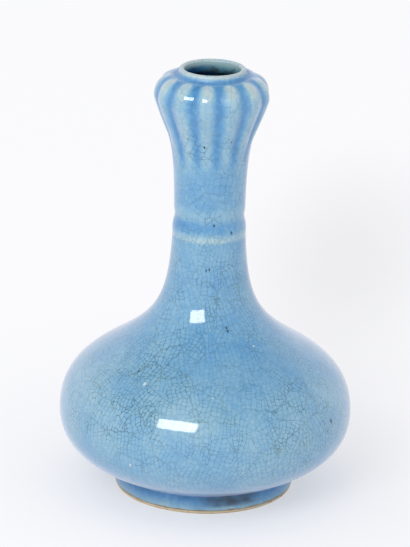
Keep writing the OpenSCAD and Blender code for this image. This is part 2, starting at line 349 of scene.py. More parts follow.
# %% Inside glaze
wall = 4.2
flat_floor_r = 46
bore_rise = 3  # the bore leaves the floor's curve this far above the floor
plain_stops = [stop for stop in body_stops if not ring_low_z < stop.height <= groove_z]
bore_depth = glaze_t + wall + glaze_t
bore = [p for p in moved_in(outline(plain_stops, step=4), bore_depth) if p.z > floor_z + bore_rise]
throat = outline([
    Stop(bore[-1].x, bore[-1].z, 178, 0, 2.5),  # the bore's upper end, under the lip
    Stop(mouth_r, lip_z, 90, 4, 0),  # the mouth
], step=1)
floor = outline([
    Stop(0, floor_z + glaze_t, 0, 0, 10),  # the middle of the floor
    Stop(flat_floor_r, floor_z + glaze_t, 0, 10, 5),  # the floor starts to rise
    Stop(bore[0].x, bore[0].z, 22, 6, 0),  # the bore's lower end
], step=4)
inside = floor[:-1] + bore[:-1] + throat
clay_side = moved_in(inside, -glaze_t * COAT_SHARE)
clay_side[0].x = 0
inner_glaze = made_piece("inner_glaze_coat", spun(inside, clay_side), "inside_glaze", "inner_glaze")

# %% Base glaze
base_r, base_low_z, _ = spread("base_glaze")
base_turn = 2.2  # the coat turns from the base to the foot ring within this
base_back_z = base_z - 0.1  # the back of the coat, just under the clay
base_line = outline([
    Stop(0, base_z - glaze_t, 0, 0, 10),  # the middle of the base
    Stop(base_r - base_turn, base_z - glaze_t, 0, 10, 1),  # the turn
    Stop(base_r - glaze_t, base_z - base_turn, 270, 1, 1),  # down the inside of the foot ring
    Stop(base_r, base_low_z, 290, 1, 0),  # the coat runs out
], step=3)
base_back = outline([Stop(0, base_back_z, 0, 0, 10), Stop(base_r, base_back_z, 0, 10, 0)], step=12)
base_glaze = made_piece("base_glaze_coat", spun(base_line, base_back), "base_glaze", "base_glaze")

# %% Bare foot
clay_r = foot_r - glaze_t
foot_top_z = foot_h - 0.5  # the ring ends under the slip of its joint
foot_edge = 1.2  # rounding of the edges that the vase stands on
foot_line = outline([
    Stop(base_r, foot_top_z, 270, 0, 2),  # down the inside
    Stop(base_r, foot_edge, 270, 2, 0.5),  # the inner edge
    Stop(base_r + foot_edge, 0, 0, 0.5, 1),  # across the face that it stands on
    Stop(clay_r - foot_edge, 0, 0, 1, 0.5),  # the outer edge
    Stop(clay_r - 0.3, 1.0, 75, 0.5, 0.5),  # up the bare side
    Stop(clay_r, bare_h, 85, 0.5, 1),  # the glaze starts
    Stop(foot_top_r - glaze_t, foot_top_z, 97, 1, 0),  # up under the glaze
], step=1)
bare_foot = made_piece("bare_foot", spun(foot_line, []), "bare_stoneware", "foot_ring")

# %% [markdown]
# ## Nodes and colours
# Each finish is a small graph of nodes. One function adds a node, fills its settings and joins its sockets,
# so that a material reads as a list of steps. Colours are written as sRGB hex, as a colour picker shows
# them, and one function turns them into the linear numbers that the renderer works with.

# %% Node and colour helpers
MATH = "ShaderNodeMath"
VECTOR = "ShaderNodeVectorMath"
NOISE = "ShaderNodeTexNoise"
VORONOI = "ShaderNodeTexVoronoi"
RANGE = "ShaderNodeMapRange"
RAMP = "ShaderNodeValToRGB"
PARTS = "ShaderNodeSeparateXYZ"
COLOUR_PARTS = "ShaderNodeSeparateColor"
JOINED = "ShaderNodeCombineXYZ"
STORED = "ShaderNodeAttribute"
BUMP = "ShaderNodeBump"
PLACE = "ShaderNodeTexCoord"
MIX = "ShaderNodeMix"
SHARE, FIRST, SECOND = 0, 6, 7  # sockets of a Mix node that mixes two colours
FIRST_NUMBER, SECOND_NUMBER = 2, 3  # and of one that mixes two numbers


def linear(colour):
    """An sRGB hex colour as linear red, green, blue and alpha."""
    parts = [int(colour[i:i + 2], 16) / 255 for i in (1, 3, 5)]
    return [c / 12.92 if c <= 0.04045 else ((c + 0.055) / 1.055) ** 2.4 for c in parts] + [1]


def fill(tree, node, inputs):
    """Fills inputs of a node, each with a value, a hex colour, a socket or a node's first output in use."""
    for name, value in inputs.items():
        if isinstance(value, str):
            value = linear(value)
        if isinstance(value, bpy.types.Node):
            value = next(socket for socket in value.outputs if socket.enabled)
        if isinstance(value, bpy.types.NodeSocket):
            tree.links.new(value, node.inputs[name])
        else:
            node.inputs[name].default_value = value


def add(tree, kind, inputs=None, **settings):
    """Adds one node with its settings and fills its inputs."""
    made = tree.nodes.new(kind)
    for field, value in settings.items():
        setattr(made, field, value)
    fill(tree, made, inputs or {})
    return made


def new_material(name):
    """An empty material with its output and a Principled shader."""
    material = bpy.data.materials.new(name)
    material.use_nodes = True
    tree = material.node_tree
    tree.nodes.clear()
    shader = add(tree, "ShaderNodeBsdfPrincipled")
    add(tree, "ShaderNodeOutputMaterial", {"Surface": shader})
    return material, tree, shader


def set_ramp(ramp, stops):
    """Gives a colour ramp its stops, each a place from 0 to 1 and a hex colour."""
    elements = ramp.color_ramp.elements
    while len(elements) < len(stops):
        elements.new(1)
    for element, (place, colour) in zip(elements, stops):
        element.position = place
        element.color = linear(colour)


print("a mid grey of #808080 is", round(linear("#808080")[0], 3), "in linear light")

# %% [markdown]
# ## Crackle
# A glaze that shrinks more than its clay cracks as it cools. The first cracks run long, and later ones
# cross between them and stop where they meet an older one, so that the net is made of small uneven quads.
# A plain Voronoi texture gives honeycombs with no older and younger lines. So a coarse Voronoi makes the
# first cracks, and each of its cells is cut into strips and each strip into bricks, in a frame that
# follows the wall.

# %% First cracks
FIRST_CRACKS = 14  # width of a cell of the first cracks
FIRST_WIDER = 0.85  # the first cracks are the widest, so their distance counts as less
LEAST_ACROSS = 0.06  # keeps the distance finite where a crack lies flat under the surface
WOBBLE, WOBBLE_SIZE = 2.0, 7  # how far cracks stray from a straight line, and over what length
NOISE_MIDDLE = (0.5, 0.5, 0.5)


def strayed(tree, in_mm):
    """The place of a point, pushed about by a noise so that no crack is straight."""
    shake = add(tree, NOISE, {"Vector": in_mm, "Scale": 1 / WOBBLE_SIZE, "Detail": 2.0})
    centred = add(tree, VECTOR, {0: shake.outputs["Color"], 1: NOISE_MIDDLE}, operation="SUBTRACT")
    push = add(tree, VECTOR, {0: centred, "Scale": 2 * WOBBLE}, operation="SCALE")
    return add(tree, VECTOR, {0: in_mm, 1: push}, operation="ADD")


def first_cracks(tree, point, normal):
    """The cells between the first cracks, and how far a point is from a crack along the surface."""
    scale = 1 / FIRST_CRACKS
    above = add(tree, VECTOR, {0: normal, 1: point}, operation="ADD")  # 1 mm above the surface
    cell = add(tree, VORONOI, {"Vector": point, "Scale": scale}, feature="F1")
    gap = add(tree, VORONOI, {"Vector": point, "Scale": scale}, feature="DISTANCE_TO_EDGE")
    gap_above = add(tree, VORONOI, {"Vector": above, "Scale": scale}, feature="DISTANCE_TO_EDGE")
    gap_mm = add(tree, MATH, {0: gap, 1: FIRST_CRACKS * FIRST_WIDER}, operation="MULTIPLY")
    slope = add(tree, MATH, {0: gap_above, 1: gap}, operation="SUBTRACT")
    slope_mm = add(tree, MATH, {0: slope, 1: FIRST_CRACKS}, operation="MULTIPLY")
    squared = add(tree, MATH, {0: slope_mm, 1: slope_mm}, operation="MULTIPLY")
    across = add(tree, MATH, {0: 1.0, 1: squared}, operation="SUBTRACT")
    across = add(tree, MATH, {0: across, 1: LEAST_ACROSS}, operation="MAXIMUM")
    across = add(tree, MATH, {0: across}, operation="SQRT")
    return cell, add(tree, MATH, {0: gap_mm, 1: across}, operation="DIVIDE")


print("first cracks about", FIRST_CRACKS, "mm apart")

# %% A flat frame for each cell
CELL_TURN = 0.5  # how far the frame of a cell may turn, in radians
FLAT = (1, 1, 0)


def cell_frame(tree, point, normal, middle, chance):
    """Where a point lies from the middle of its cell: round the vase and up the wall, turned by chance."""
    middle_flat = add(tree, VECTOR, {0: middle, 1: FLAT}, operation="MULTIPLY")
    point_flat = add(tree, VECTOR, {0: point, 1: FLAT}, operation="MULTIPLY")
    crossed = add(tree, VECTOR, {0: middle_flat, 1: point_flat}, operation="CROSS_PRODUCT")
    turn_sine = add(tree, PARTS, {0: crossed}).outputs["Z"]
    turn_cosine = add(tree, VECTOR, {0: middle_flat, 1: point_flat}, operation="DOT_PRODUCT")
    turn = add(tree, MATH, {0: turn_sine, 1: turn_cosine}, operation="ARCTAN2")
    radius = add(tree, VECTOR, {0: point_flat}, operation="LENGTH")
    round_way = add(tree, MATH, {0: turn, 1: radius}, operation="MULTIPLY")
    sideways = add(tree, VECTOR, {0: AXIS, 1: point_flat}, operation="CROSS_PRODUCT")
    sideways = add(tree, VECTOR, {0: sideways}, operation="NORMALIZE")
    upwards = add(tree, VECTOR, {0: normal, 1: sideways}, operation="CROSS_PRODUCT")
    offset = add(tree, VECTOR, {0: point, 1: middle}, operation="SUBTRACT")
    up_way = add(tree, VECTOR, {0: offset, 1: upwards}, operation="DOT_PRODUCT")
    place = add(tree, JOINED, {"X": round_way, "Y": up_way})
    tilt = add(tree, RANGE, {"Value": chance, "To Min": -CELL_TURN, "To Max": CELL_TURN})
    turned = add(tree, "ShaderNodeVectorRotate", {"Vector": place, "Angle": tilt}, rotation_type="Z_AXIS")
    return add(tree, PARTS, {0: turned}).outputs


print("a cell's frame turns by up to", round(math.degrees(CELL_TURN)), "degrees")

# %% Strips and bricks
STRIP_LOW, STRIP_HIGH = 2.4, 3.8  # width of the strips that cut a cell
BRICK_LOW, BRICK_HIGH = 2.3, 4.2  # height of the bricks that cut a strip
NECK_COARSER = 1.4  # above the neck ring the strips and bricks are this much larger
BRICK_LEAN = 0.4  # how far a cross crack may lean, in bricks
CLOSED = 0.2  # share of the cross cracks that never opened
HALF_WAY = 0.5  # the middle between two cracks


def drawn(tree, *keys):
    """Random numbers that are the same wherever the keys are the same."""
    key = add(tree, JOINED, dict(enumerate(keys)))
    return add(tree, "ShaderNodeTexWhiteNoise", {"Vector": key}, noise_dimensions="3D")


def strips_and_bricks(tree, place, chance, coarser):
    """Cuts a cell up: how far a point is from both kinds of crack, and a random number for each piece."""
    # Strips across the cell
    strip_w = add(tree, RANGE, {"Value": chance[1], "To Min": STRIP_LOW, "To Max": STRIP_HIGH})
    strip_w = add(tree, MATH, {0: strip_w, 1: coarser}, operation="MULTIPLY")
    strips = add(tree, MATH, {0: place["X"], 1: strip_w}, operation="DIVIDE")
    strip = add(tree, MATH, {0: strips}, operation="FLOOR")
    strip_gap = add(tree, MATH, {0: strips, 1: HALF_WAY}, operation="PINGPONG")
    strip_gap = add(tree, MATH, {0: strip_gap, 1: strip_w}, operation="MULTIPLY")
    for_strip = drawn(tree, strip, chance[2]).outputs["Color"]
    strip_chance = add(tree, COLOUR_PARTS, {0: for_strip}).outputs

    # Bricks up each strip, with leaning ends, some of which never opened
    brick_h = add(tree, RANGE, {"Value": strip_chance[0], "To Min": BRICK_LOW, "To Max": BRICK_HIGH})
    brick_h = add(tree, MATH, {0: brick_h, 1: coarser}, operation="MULTIPLY")
    bricks = add(tree, MATH, {0: place["Y"], 1: brick_h}, operation="DIVIDE")
    lean = add(tree, RANGE, {"Value": strip_chance[1], "To Min": -BRICK_LEAN, "To Max": BRICK_LEAN})
    in_strip = add(tree, MATH, {0: strips}, operation="FRACT")
    aside = add(tree, MATH, {0: in_strip, 1: lean, 2: strip_chance[2]}, operation="MULTIPLY_ADD")
    bricks = add(tree, MATH, {0: bricks, 1: aside}, operation="ADD")
    brick_end = add(tree, MATH, {0: bricks}, operation="ROUND")
    for_end = drawn(tree, strip, chance[2], brick_end)
    closed = add(tree, MATH, {0: for_end, 1: CLOSED}, operation="LESS_THAN")
    brick_gap = add(tree, MATH, {0: bricks, 1: HALF_WAY}, operation="PINGPONG")
    brick_gap = add(tree, MATH, {0: brick_gap, 1: closed}, operation="ADD")
    brick_gap = add(tree, MATH, {0: brick_gap, 1: brick_h}, operation="MULTIPLY")
    brick = add(tree, MATH, {0: bricks}, operation="FLOOR")
    return strip_gap, brick_gap, drawn(tree, brick, chance[2], strip)


print("crackle pieces about", (STRIP_LOW + STRIP_HIGH) / 2, "by", (BRICK_LOW + BRICK_HIGH) / 2, "mm")

# %% Crack lines
LINE_FULL, LINE_EDGE = 0.05, 0.38  # real cracks are finer; these show at the photograph's scale
KNOT_FULL, KNOT_EDGE, KNOT_MORE = 0.3, 0.9, 0.7  # dirt gathers where two cracks meet


def crackle(tree, in_mm):
    """Returns the strength of the crack lines, 1 or more in a line, and a random number for each piece."""
    point = strayed(tree, in_mm)
    normal = add(tree, "ShaderNodeNewGeometry").outputs["Normal"]
    cell, first_gap = first_cracks(tree, point, normal)
    chance = add(tree, COLOUR_PARTS, {0: cell.outputs["Color"]}).outputs
    place = cell_frame(tree, point, normal, cell.outputs["Position"], chance[0])
    level = add(tree, PARTS, {0: in_mm}).outputs["Z"]
    coarser = add(tree, RANGE, {"Value": level, "From Min": ring_low_z, "From Max": groove_z,
                                "To Min": 1.0, "To Max": NECK_COARSER})
    strip_gap, brick_gap, piece = strips_and_bricks(tree, place, chance, coarser)
    nearest = add(tree, MATH, {0: strip_gap, 1: brick_gap}, operation="MINIMUM")
    nearest = add(tree, MATH, {0: nearest, 1: first_gap}, operation="MINIMUM")
    line = add(tree, RANGE, {"Value": nearest, "From Min": LINE_FULL, "From Max": LINE_EDGE,
                             "To Min": 1.0, "To Max": 0.0}, interpolation_type="SMOOTHSTEP")
    corner = add(tree, MATH, {0: strip_gap, 1: brick_gap}, operation="MAXIMUM")
    knot = add(tree, RANGE, {"Value": corner, "From Min": KNOT_FULL, "From Max": KNOT_EDGE,
                             "To Min": 1 + KNOT_MORE, "To Max": 1.0})
    return add(tree, MATH, {0: line, 1: knot}, operation="MULTIPLY"), piece


print("crack lines drawn", 2 * LINE_EDGE, "mm wide at most")

# %% [markdown]
# ## Thickness of the glaze
# The glaze is a blue glass over pale clay, so its colour follows its thickness: pale and greenish where
# it runs thin over the lobes, the lip and the ring, and deep blue where it pools in the furrows, the
# groove and round the foot; under the belly that deep blue is partly painted shade. A thickness is worked
# out at each point of the coat and stored there, because the material can't see the form by itself. A
# few soft patches keep it from being the same all round; two of them are painted light, a paler glow
# beside the belly's highlight and a painted shade on the right of the upper neck.

# %% Thickness
Band = namedtuple("Band", "centre half depth side fade")  # fade is how much weaker it is away from its side
Patch = namedtuple("Patch", "azimuth level reach strength")

PLAIN, RIDGE_THIN, FURROW_POOL = 0.52, 0.37, 0.33  # a plain wall, and the change on lobes and in furrows
BAND_SOFT, PATCH_SOFT = 1.5, 1.3  # bands and patches are full near their middle and fade out from there
RIDGE_SHARE = 0.37  # how thin the glaze is down a lobe, against its cap
LOBE_LOW_Z, LOBE_FULL_Z = 226, 246  # ridges and pools fade in between these levels
CAP_LOW_Z, CAP_FULL_Z = 283, 290  # and the pale caps of the lobes here
CAP_R, CAP_BEND, CAP_SOFT = 25.4, 10, 3.6  # the caps end in round tips at this radius
FURROW_FROM, FURROW_SOFT = 0.22, 0.7  # where a pool starts, from 0 on a ridge to 1 in a furrow

bands = [
    Band(6, 13, 0.63, 0, 0),  # thick all over the foot
    Band(foot_h, 6.5, 0.9, 0, 0),  # pooled under the belly, and darker there as painted shade under its overhang
    Band(glaze_low_z, 4.0, 0.4, 0, 0.3),  # thin at the glaze's lower edge
    Band(128, 46, 0.65, 0, 0),  # a little thicker below the neck, where the glaze ran down
    Band(217, 25, 0.57, 0, 0),  # a little thicker on the upper neck
    Band(184.8, 3.0, 0.2, 35, 0.35),  # thin on the ring's crest
    Band(192.6, 5.4, 0.76, -20, 1.0),  # pooled in the groove
    Band(202, 5.5, 0.42, 0, 0.2),  # thin above the groove
    Band(height, 3.8, 0.1, 0, 0),  # thin on the lip
]
tone_and_light_patches = [
    Patch(-58, 122, 60, -0.1),  # paler on the left of the shoulder
    Patch(2, 86, 27, -0.14),  # painted light: a paler glow on the front of the belly, beside its highlight
    Patch(46, 238, 44, 0.08),  # painted shade on the right of the upper neck, away from the softbox
]


def patched(patches, x, y, level):
    """The sum of a set of soft round patches at a point of the wall."""
    angle, radius = math.atan2(x, -y), math.hypot(x, y)
    total = 0
    for patch in patches:
        turn = (angle - math.radians(patch.azimuth) + math.pi) % math.tau - math.pi
        away = math.hypot(turn * radius, level - patch.level)
        total += patch.strength * ease(PATCH_SOFT * (1 - away / patch.reach))
    return total


def ring_of_lobes(angle, radius, level):
    """How far a point belongs to the pale ridge of a lobe and to the pool in a furrow, each from 0 to 1."""
    aside = abs((angle * LOBES / math.tau + 0.5) % 1 - 0.5) * 2
    hollow = ease((aside - FURROW_FROM) / FURROW_SOFT)
    on_lobes = risen(level, LOBE_LOW_Z, LOBE_FULL_Z)
    thin = RIDGE_SHARE * on_lobes + (1 - RIDGE_SHARE) * risen(level, CAP_LOW_Z, CAP_FULL_Z)
    ridge, pool = thin * (1 - hollow), hollow * on_lobes
    if level > head_z:
        on_cap = ease((radius - CAP_R - CAP_BEND * aside ** 2) / CAP_SOFT)
        return ridge * on_cap, max(pool, 1 - on_cap)
    return ridge, pool


def glaze_depth_and_painted_light(x, y, level):
    """How thick the glaze is, plus painted light and shade: 0 thin, about 0.5 on a plain wall, 1 pooled."""
    angle = math.atan2(x, -y)
    ridge, pool = ring_of_lobes(angle, math.hypot(x, y), level)
    depth = PLAIN - RIDGE_THIN * ridge + FURROW_POOL * pool
    for band in bands:
        near = ease(BAND_SOFT * (1 - abs(level - band.centre) / band.half))
        near *= 1 - band.fade * (1 - math.cos(angle - math.radians(band.side))) / 2
        depth += near * (band.depth - depth)
    return depth + patched(tone_and_light_patches, x, y, level)


print(len(bands), "bands and", len(tone_and_light_patches), "patches of other thickness")

# %% [markdown]
# ## Smoke, wear and dirt
# Three marks of the vase's life are stored in the same way as the thickness. Smoke in the kiln left a smear
# on the foot. Hands have dulled the lip and one lobe of the head. Dust has settled in the cracks, most of
# all in a few patches, and hardly at all on the foot. A noise alone would put these anywhere, so each has
# its own place.

# %% Smoke, wear and dirt
SMOKE_AZIMUTH, SMOKE_HALF, SMOKE_LOW_Z = 24, 24, 4.5  # where the smear lies, in degrees and from what level
SMOKE_RISE, SMOKE_END = 2.5, 2  # the smear fades in above its lower level, and out above the foot
SMOKE_MEAN, SMOKE_UNEVEN = 0.75, 0.6  # its strength, and how far clouds change that
SMOKE_SIZE, SMOKE_LOWER = 6, 2  # width of a cloud, and how much wider than high it is
DULL_R, DULL_SOFT = 28, 3  # hands dull the lip inside this radius
CLEAN, NECK_CLEAN = 0.3, 0.2  # the least dirt on the body and above the neck ring
FOOT_CLEANER, DIRT_FULL_Z = 0.8, 44  # hands and dust hardly reach the foot and the belly's underside

worn_patches = [Patch(18, 287, 9, 1)]  # one lobe of the head
dirt_patches = [
    Patch(-22, 86, 40, 0.32), Patch(-46, 78, 34, 0.14),  # left of the belly
    Patch(-8, 79, 17, -0.36),  # less dirt where the belly's highlight falls, so that no cracks show in it
    Patch(47, 68, 40, 0.24), Patch(12, 64, 28, 0.1),  # right of the belly
    Patch(-20, 132, 34, 0.08), Patch(24, 150, 26, 0.12),  # the foot of the neck
    Patch(0, 196, 22, 0.08), Patch(-8, 226, 26, 0.1), Patch(-14, 252, 16, 0.26),  # front of the upper neck
    Patch(34, 246, 26, 0.2), Patch(36, 212, 26, 0.16),  # right of the upper neck
    Patch(150, 70, 60, 0.3), Patch(-130, 80, 60, 0.28), Patch(180, 140, 50, 0.22),  # the back
]


def smoke(x, y, level):
    """Strength of the smear that smoke left on the foot."""
    aside = abs(math.degrees(math.atan2(x, -y)) - SMOKE_AZIMUTH) / SMOKE_HALF
    strength = SMOKE_MEAN + SMOKE_UNEVEN * noise.noise(Vector((x, y, level * SMOKE_LOWER)) / SMOKE_SIZE)
    strength *= ease(BAND_SOFT * (1 - aside)) * ease((level - SMOKE_LOW_Z) / SMOKE_RISE)
    return strength * ease((foot_h + SMOKE_END - level) / SMOKE_END)


def dullness(x, y, level):
    """How far hands have dulled the glaze: 1 on the lip and in the worn places, and 0 on the rest."""
    on_lip = ease((DULL_R - math.hypot(x, y)) / DULL_SOFT) if level > head_z else 0
    return max(on_lip, patched(worn_patches, x, y, level))


def dirt(x, y, level):
    """How much old dirt the cracks hold: little on a clean wall, and more in the patches."""
    least = CLEAN + (NECK_CLEAN - CLEAN) * risen(level, ring_low_z, groove_z)
    reached = 1 - FOOT_CLEANER * (1 - risen(level, foot_h, DIRT_FULL_Z))
    return reached * max(least + patched(dirt_patches, x, y, level), 0)


print(len(dirt_patches), "patches of dirt")

# %% Numbers stored on the glaze
BASE_DEPTH = 0.42


def store(piece, name, rule):
    """Stores a number at each point of a piece, from a rule of the point's place."""
    stored = piece.data.attributes.new(name, "FLOAT", "POINT").data
    for vert, spot in zip(piece.data.vertices, stored):
        spot.value = rule(*(vert.co / MM))
    values = [spot.value for spot in stored]
    print(name, "of", piece.name, "from", round(min(values), 2), "to", round(max(values), 2))


outer_rules = {"glaze_depth_and_painted_light": glaze_depth_and_painted_light, "smoke": smoke, "dirt": dirt, "dullness": dullness}
base_values = {"glaze_depth_and_painted_light": BASE_DEPTH, "smoke": 0, "dirt": CLEAN, "dullness": 0}
for name in outer_rules:
    store(outer_glaze, name, outer_rules[name])
    store(base_glaze, name, lambda *place: base_values[name])

# %% [markdown]
# ## Blue crackle glaze
# The colour ramp turns the thickness into a colour, and slow and fine noises keep it from looking painted.
# The cracks hold old dirt, blue-grey with some olive green, dark in a few patches and faint elsewhere.
# Small burst bubbles and pale specks sit where they show on the real vase, each at its azimuth and height.

# %% Blemishes
Spot = namedtuple("Spot", "azimuth level size")

SPOT_CORE = 0.4  # a spot is full over this share of its radius
SQUASH = Vector((1, 1, 0.6))  # a bubble runs down a little before it bursts, so a spot is taller than wide

dark_spots = [
    Spot(13.7, 195.5, 0.9), Spot(42.9, 189.5, 1.0), Spot(3.0, 164.3, 0.7), Spot(7.4, 164.9, 0.8),
    Spot(-2.9, 252.3, 1.0), Spot(32.7, 255.8, 0.8), Spot(-34.5, 100.7, 1.0), Spot(26.1, 126.8, 1.0),
    Spot(26.4, 124.9, 1.0), Spot(65.1, 66.6, 1.5),
]
pale_spots = [Spot(45.7, 114.9, 0.9), Spot(9.2, 92.9, 0.7), Spot(-26.4, 96.0, 1.6), Spot(-24.0, 45.5, 1.0)]


def on_wall(spot):
    """The place of a spot on the outside of the vase."""
    low, high = next((p, q) for p, q in zip(outside, outside[1:]) if p.z <= spot.level < q.z)
    radius = low.x + (high.x - low.x) * (spot.level - low.z) / (high.z - low.z)
    angle = math.radians(spot.azimuth)
    radius -= furrow_depth(radius, angle, spot.level)
    return Vector((radius * math.sin(angle), -radius * math.cos(angle), spot.level))


def spotted(tree, in_mm, spots):
    """The strength of a set of spots, from 0 to 1."""
    squashed = add(tree, VECTOR, {0: in_mm, 1: SQUASH}, operation="MULTIPLY")
    strength = 0.0
    for spot in spots:
        middle = on_wall(spot) * SQUASH
        away = add(tree, VECTOR, {0: squashed, 1: middle}, operation="DISTANCE")
        one = add(tree, RANGE, {"Value": away, "From Min": spot.size * SPOT_CORE, "From Max": spot.size,
                                "To Min": 1.0, "To Max": 0.0})
        strength = add(tree, MATH, {0: one, 1: strength}, operation="MAXIMUM")
    return strength


print(len(dark_spots), "dark spots and", len(pale_spots), "pale ones")

# %% Colour of the glaze
CLOUD, CLOUD_SIZE = 0.13, 32  # how far slow clouds change the thickness, and their size
GRAIN, GRAIN_SIZE = 0.06, 2.6  # the same for its fine grain
PIECE_TONE = 0.035  # how far the pieces between the cracks differ
NOISE_LOW, NOISE_HIGH = 0.25, 0.75  # nearly all values of a noise lie between these
glaze_ramp = [(0.0, "#c2cecb"), (0.22, "#a6c5d0"), (0.52, "#7eaecd"), (0.8, "#5796c8"), (1.0, "#3a7cb2")]


def glaze_colour(tree, in_mm, piece):
    """Colour from the thickness with its painted light, the glaze's clouds, its grain and each piece's
    tone.
    """
    depth = add(tree, STORED, attribute_name="glaze_depth_and_painted_light").outputs["Fac"]
    cloud = add(tree, NOISE, {"Vector": in_mm, "Scale": 1 / CLOUD_SIZE, "Detail": 3.0})
    grain = add(tree, NOISE, {"Vector": in_mm, "Scale": 1 / GRAIN_SIZE, "Detail": 2.0})
    for value, most in ((cloud, CLOUD), (grain, GRAIN), (piece, PIECE_TONE)):
        change = add(tree, RANGE, {"Value": value, "From Min": NOISE_LOW, "From Max": NOISE_HIGH,
                                   "To Min": -most, "To Max": most})
        depth = add(tree, MATH, {0: depth, 1: change}, operation="ADD")
    ramp = add(tree, RAMP, {0: depth})
    set_ramp(ramp, glaze_ramp)
    return ramp


print(len(glaze_ramp), "colours from thin glaze to thick")

# %% Dirt in the cracks
OLIVE_SIZE, OLIVE_FROM, OLIVE_FULL = 26, 0.5, 0.68  # clouds where the dirt is olive green
UNEVEN_SIZE, UNEVEN_LOW, UNEVEN_HIGH = 14, 0.34, 0.66  # clouds where the lines are faint or strong
FAINT, STRONG = 0.55, 1.4
HAZE = 0.22  # dirt in cracks too fine to see makes the glaze greyer and greener


def with_dirt(tree, in_mm, line, colour):
    """The colour of the glaze with dirt in its cracks, strong in some places and faint in others."""
    olive = add(tree, NOISE, {"Vector": in_mm, "Scale": 1 / OLIVE_SIZE, "Detail": 2.0})
    olive = add(tree, RANGE, {"Value": olive, "From Min": OLIVE_FROM, "From Max": OLIVE_FULL})
    dirt_colour = add(tree, MIX, {SHARE: olive, FIRST: "#3f6a82", SECOND: "#55705f"}, data_type="RGBA")
    uneven = add(tree, NOISE, {"Vector": in_mm, "Scale": 1 / UNEVEN_SIZE, "Detail": 2.0})
    uneven = add(tree, RANGE, {"Value": uneven, "From Min": UNEVEN_LOW, "From Max": UNEVEN_HIGH,
                               "To Min": FAINT, "To Max": STRONG})
    held = add(tree, STORED, attribute_name="dirt").outputs["Fac"]
    shown = add(tree, MATH, {0: line, 1: held}, operation="MULTIPLY")
    shown = add(tree, MATH, {0: shown, 1: uneven}, operation="MULTIPLY")
    haze = add(tree, MATH, {0: held, 1: HAZE}, operation="MULTIPLY")
    hazy = add(tree, MIX, {SHARE: haze, FIRST: colour, SECOND: "#83aeb6"}, data_type="RGBA")
    return add(tree, MIX, {SHARE: shown, FIRST: hazy, SECOND: dirt_colour}, data_type="RGBA")


print("dirt lines from", FAINT, "to", STRONG, "times their strength")

# %% Blue crackle glaze material
GLAZE_IOR = 1.52
WET_ROUGH, DULL_ROUGH = 0.07, 0.42
RIPPLE_SIZE, RIPPLE_HEIGHT, RIPPLE_STRENGTH = 9, 0.2, 0.12  # the glaze ran a little before it set
SHEEN, SHEEN_ROUGH = 0.5, 0.4  # fine dust on the glaze pales its rims


def blue_crackle_glaze():
    """Feldspar glaze with cobalt over pale stoneware: a wet shine from the fire over a stained net."""
    material, tree, shader = new_material("blue_crackle_glaze")
    place = add(tree, PLACE).outputs["Object"]
    in_mm = add(tree, VECTOR, {0: place, "Scale": 1 / MM}, operation="SCALE")
    line, piece = crackle(tree, in_mm)
    colour = with_dirt(tree, in_mm, line, glaze_colour(tree, in_mm, piece))

    # Smoke on the foot, pinholes and pale specks
    smeared = add(tree, STORED, attribute_name="smoke").outputs["Fac"]
    pinholes, pale_specks = spotted(tree, in_mm, dark_spots), spotted(tree, in_mm, pale_spots)
    for share, mark in ((smeared, "#30485a"), (pinholes, "#2c3f48"), (pale_specks, "#cdd9d8")):
        colour = add(tree, MIX, {SHARE: share, FIRST: colour, SECOND: mark}, data_type="RGBA")

    ripple = add(tree, NOISE, {"Vector": in_mm, "Scale": 1 / RIPPLE_SIZE, "Detail": 1.0})
    bump = add(tree, BUMP, {"Height": ripple, "Strength": RIPPLE_STRENGTH, "Distance": RIPPLE_HEIGHT * MM})
    dull = add(tree, STORED, attribute_name="dullness").outputs["Fac"]
    rough = add(tree, RANGE, {"Value": dull, "To Min": WET_ROUGH, "To Max": DULL_ROUGH})
    fill(tree, shader, {"Base Color": colour, "Normal": bump, "Roughness": rough, "IOR": GLAZE_IOR,
                        "Sheen Weight": SHEEN, "Sheen Roughness": SHEEN_ROUGH, "Sheen Tint": "#eae8fa"})
    return material


outer_glaze.data.materials.append(blue_crackle_glaze())
base_glaze.data.materials.append(outer_glaze.data.materials[0])
print("blue glaze on", outer_glaze.name, "and", base_glaze.name)

# %% [markdown]
# ## Inside glaze
# The inside has the same glaze, but nobody cleans it, so water and dust have browned it. Only its first few
# centimetres are ever seen, and they darken quickly because little light falls into the mouth. The colour
# follows the depth below the lip and darkens with it, partly from stains and partly as painted shade. It
# is bluer and darker on the left, partly where the glaze pooled and partly as painted shade on the side
# away from the softbox, with brown clouds over it.

# %% Stained inside glaze, with painted shade
STAINED_AND_SHADED_DOWN = 30  # the colours, with their stains and painted shade, run from the lip to this far below it
BLUE_SIDE = 0.9  # how blue the glaze is on the left, partly where it pooled and partly as painted shade
BLUE_FROM_X, BLUE_FULL_X = 4, -14  # the blue fades in from right to left
DEEP_FROM, DEEP_FULL = 0.1, 0.2  # the pool and the stains start below the lip, as shares of STAINED_AND_SHADED_DOWN
BROWN_SIZE, BROWN_FROM, BROWN_FULL, BROWN_MOST = 5, 0.46, 0.66, 0.7  # clouds of brown stain
INSIDE_ROUGH = 0.15
# the ramp darkens below the lip, partly from stains and partly as painted shade in the mouth
inside_ramp = [(0.0, "#b4c8cc"), (0.1, "#acced4"), (0.2, "#7cb6c6"), (0.32, "#4a92b0"), (0.48, "#347494"),
               (0.8, "#407c90")]


